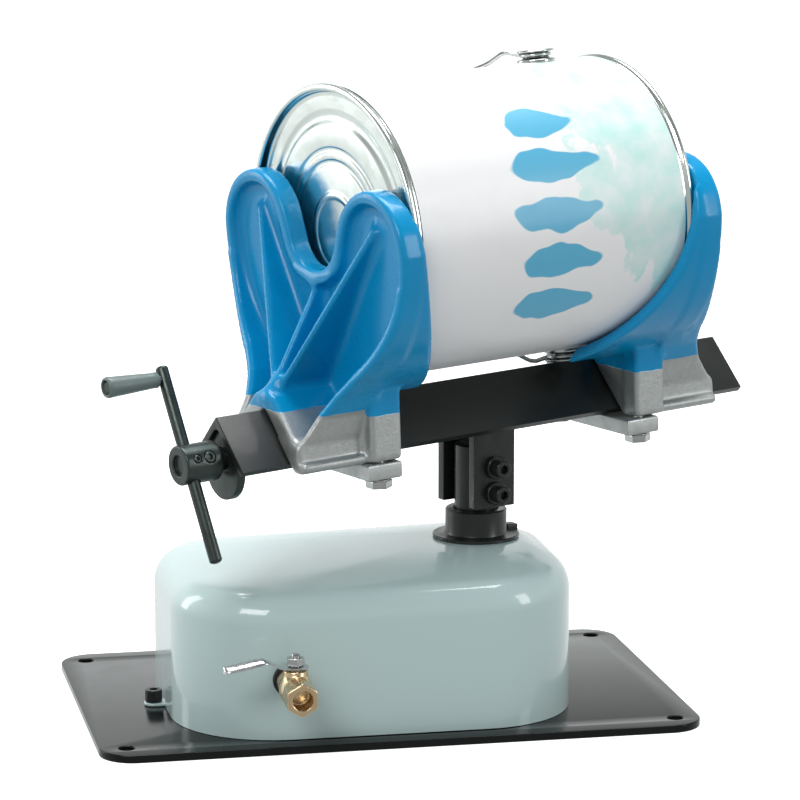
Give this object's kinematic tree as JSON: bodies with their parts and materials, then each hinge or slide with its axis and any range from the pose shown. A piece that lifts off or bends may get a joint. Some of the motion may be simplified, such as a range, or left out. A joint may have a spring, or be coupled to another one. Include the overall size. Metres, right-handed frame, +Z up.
{
  "type": "pneumatic paint can shaker",
  "caption": "Air-driven bench-top paint can shaker: swinging angle-rail arm with screw-clamped jaws holding a can above a domed housing on a bolted base plate.",
  "frame": {"origin": "centre of the base plate's bottom face", "axes": "+X along the base plate towards the spindle side, -Y towards the air valve, +Z up"},
  "size_m": [0.4, 0.257, 0.3746],
  "materials": {
    "plate_black": "gloss",
    "housing_grey": "high gloss",
    "jaw_blue": "gloss",
    "black_steel": "satin",
    "dark_steel": "satin, oiled",
    "bright_steel": "bright plated",
    "aluminium": "as cast",
    "cast_iron": "as cast",
    "bronze": "sintered bronze",
    "brass": "polished",
    "rubber": "matte",
    "grip_grey": "moulded",
    "can_tin": "tinplate"
  },
  "bodies": {
    "base": {"base_plate": "plate_black", "housing": "housing_grey", "housing_screw_left": "black_steel", "housing_screw_back_left": "black_steel", "housing_screw_back_right": "black_steel", "spindle_collar": "black_steel", "bearing_pedestal": "cast_iron", "lower_bearing": "bronze", "upper_bearing": "bronze", "thrust_washer": "bright_steel", "cylinder_tube": "aluminium", "cylinder_rear_cap": "dark_steel", "cylinder_front_cap": "dark_steel", "cylinder_foot_rear": "dark_steel", "cylinder_foot_front": "dark_steel", "exhaust_silencer": "bronze", "hose_fitting": "brass", "air_hose": "rubber", "valve_gasket": "rubber", "valve_body": "brass"},
    "arm": {"spindle": "black_steel", "rocker": "cast_iron", "bracket_plate_front": "black_steel", "bracket_plate_rear": "black_steel", "bracket_washer_upper": "black_steel", "bracket_washer_lower": "black_steel", "bracket_screw_upper": "black_steel", "bracket_screw_lower": "black_steel", "bracket_nut_upper": "black_steel", "bracket_nut_lower": "black_steel", "arm_rail": "black_steel", "rail_end_plate": "dark_steel", "right_jaw": "jaw_blue", "right_keeper": "aluminium", "right_bolt_front": "bright_steel", "right_bolt_rear": "bright_steel"},
    "air_piston": {"piston": "aluminium", "piston_rod": "bright_steel", "rod_clevis": "black_steel", "drive_pin": "bright_steel"},
    "screw": {"lead_screw": "dark_steel", "screw_collar": "dark_steel", "crank_hub": "dark_steel", "hub_set_screw": "dark_steel", "hub_lock_screw": "dark_steel", "crank_arm": "dark_steel"},
    "sliding_jaw": {"left_jaw": "jaw_blue", "left_keeper": "aluminium", "left_bolt_front": "bright_steel", "left_bolt_rear": "bright_steel", "jaw_nut": "bronze"},
    "grip": {"crank_grip": "grip_grey"},
    "can": {"can_body": "can_tin", "can_lid": "can_tin", "can_ear_upper": "bright_steel", "can_ear_lower": "bright_steel"},
    "can_bail": {"bail": "bright_steel"},
    "valve_handle": {"valve_stem": "bright_steel", "valve_lever": "bright_steel", "valve_nut": "bright_steel"}
  },
  "joints": [
    {"name": "arm_swing", "type": "hinge", "parent": "base", "child": "arm", "pos_m": [0.05875, -0.013, 0.12], "axis": [0, 0, 1], "range_deg": [-10, 10]},
    {"name": "piston_slide", "type": "slide", "parent": "base", "child": "air_piston", "axis": [-1, 0, 0], "range_m": [-0.0053, 0.0053]},
    {"name": "clamp_screw", "type": "hinge", "parent": "arm", "child": "screw", "pos_m": [-0.05151, -0.058, 0.16253], "axis": [0.9253, 0.3776, 0.0349], "range_deg": [0, 2880]},
    {"name": "jaw_slide", "type": "slide", "parent": "arm", "child": "sliding_jaw", "axis": [-0.9253, -0.3776, -0.0349], "range_m": [0, 0.032]},
    {"name": "crank_grip_spin", "type": "hinge", "parent": "screw", "child": "grip", "pos_m": [-0.1475, -0.07285, 0.20345], "axis": [0.9253, 0.3776, 0.0349], "continuous": true},
    {"name": "can_lift", "type": "slide", "parent": "arm", "child": "can", "axis": [-0.0323, -0.0132, 0.9994], "range_m": [0, 0.15]},
    {"name": "bail_swing", "type": "hinge", "parent": "can", "child": "can_bail", "pos_m": [0.10575, 0.00618, 0.28423], "axis": [0.0781, -0.0997, -0.9919], "range_deg": [-5, 11]},
    {"name": "valve_lever_turn", "type": "hinge", "parent": "base", "child": "valve_handle", "pos_m": [-0.066, -0.122, 0.05], "axis": [0, 0, 1], "range_deg": [0, 90]}
  ],
  "couplings": [
    {"joint": "piston_slide", "follows": "arm_swing", "m_per_rad": 0.03},
    {"joint": "jaw_slide", "follows": "clamp_screw", "m_per_rad": 0.00063662}
  ]
}
